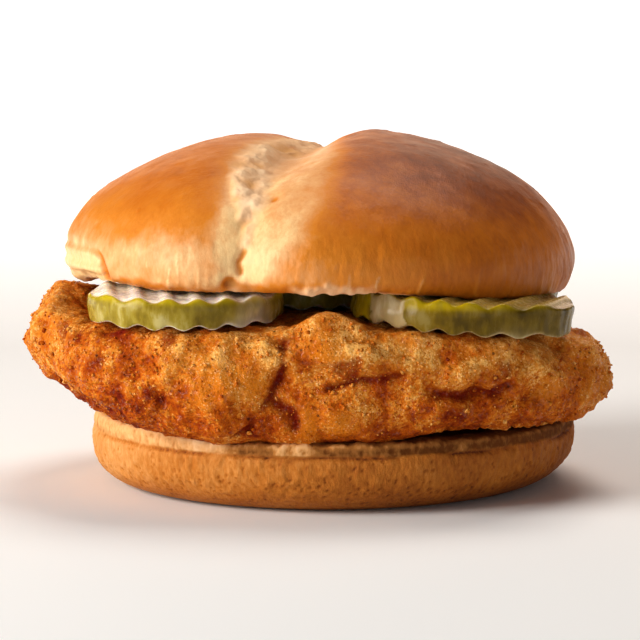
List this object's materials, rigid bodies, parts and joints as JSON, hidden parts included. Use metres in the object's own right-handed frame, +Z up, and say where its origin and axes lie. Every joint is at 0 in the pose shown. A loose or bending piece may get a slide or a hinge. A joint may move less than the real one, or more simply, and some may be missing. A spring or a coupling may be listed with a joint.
{
  "type": "fried chicken burger",
  "caption": "Fried chicken burger: a split bun holding a craggy breaded chicken fillet and crinkle-cut pickle slices, resting on the bun heel's flat underside.",
  "frame": {"origin": "middle of the bun heel's flat underside, level with what the burger stands on", "axes": "+X along the fillet's longer way, to the right as the burger is seen from the front; +Y from the front to the back; +Z up"},
  "size_m": [0.119, 0.1064, 0.0716],
  "materials": {
    "bun_crown": "glossy baked bun crust",
    "bun_heel": "matte baked bun crust",
    "chicken_fillet": "rough fried breading with a little oil",
    "pickle": "wet pickled cucumber"
  },
  "bodies": {
    "root": {"bun_heel": "bun_heel", "chicken_fillet": "chicken_fillet", "pickle_front_left": "pickle", "pickle_front_right": "pickle", "pickle_back_left": "pickle", "pickle_back_right": "pickle", "bun_crown": "bun_crown"}
  },
  "joints": []
}
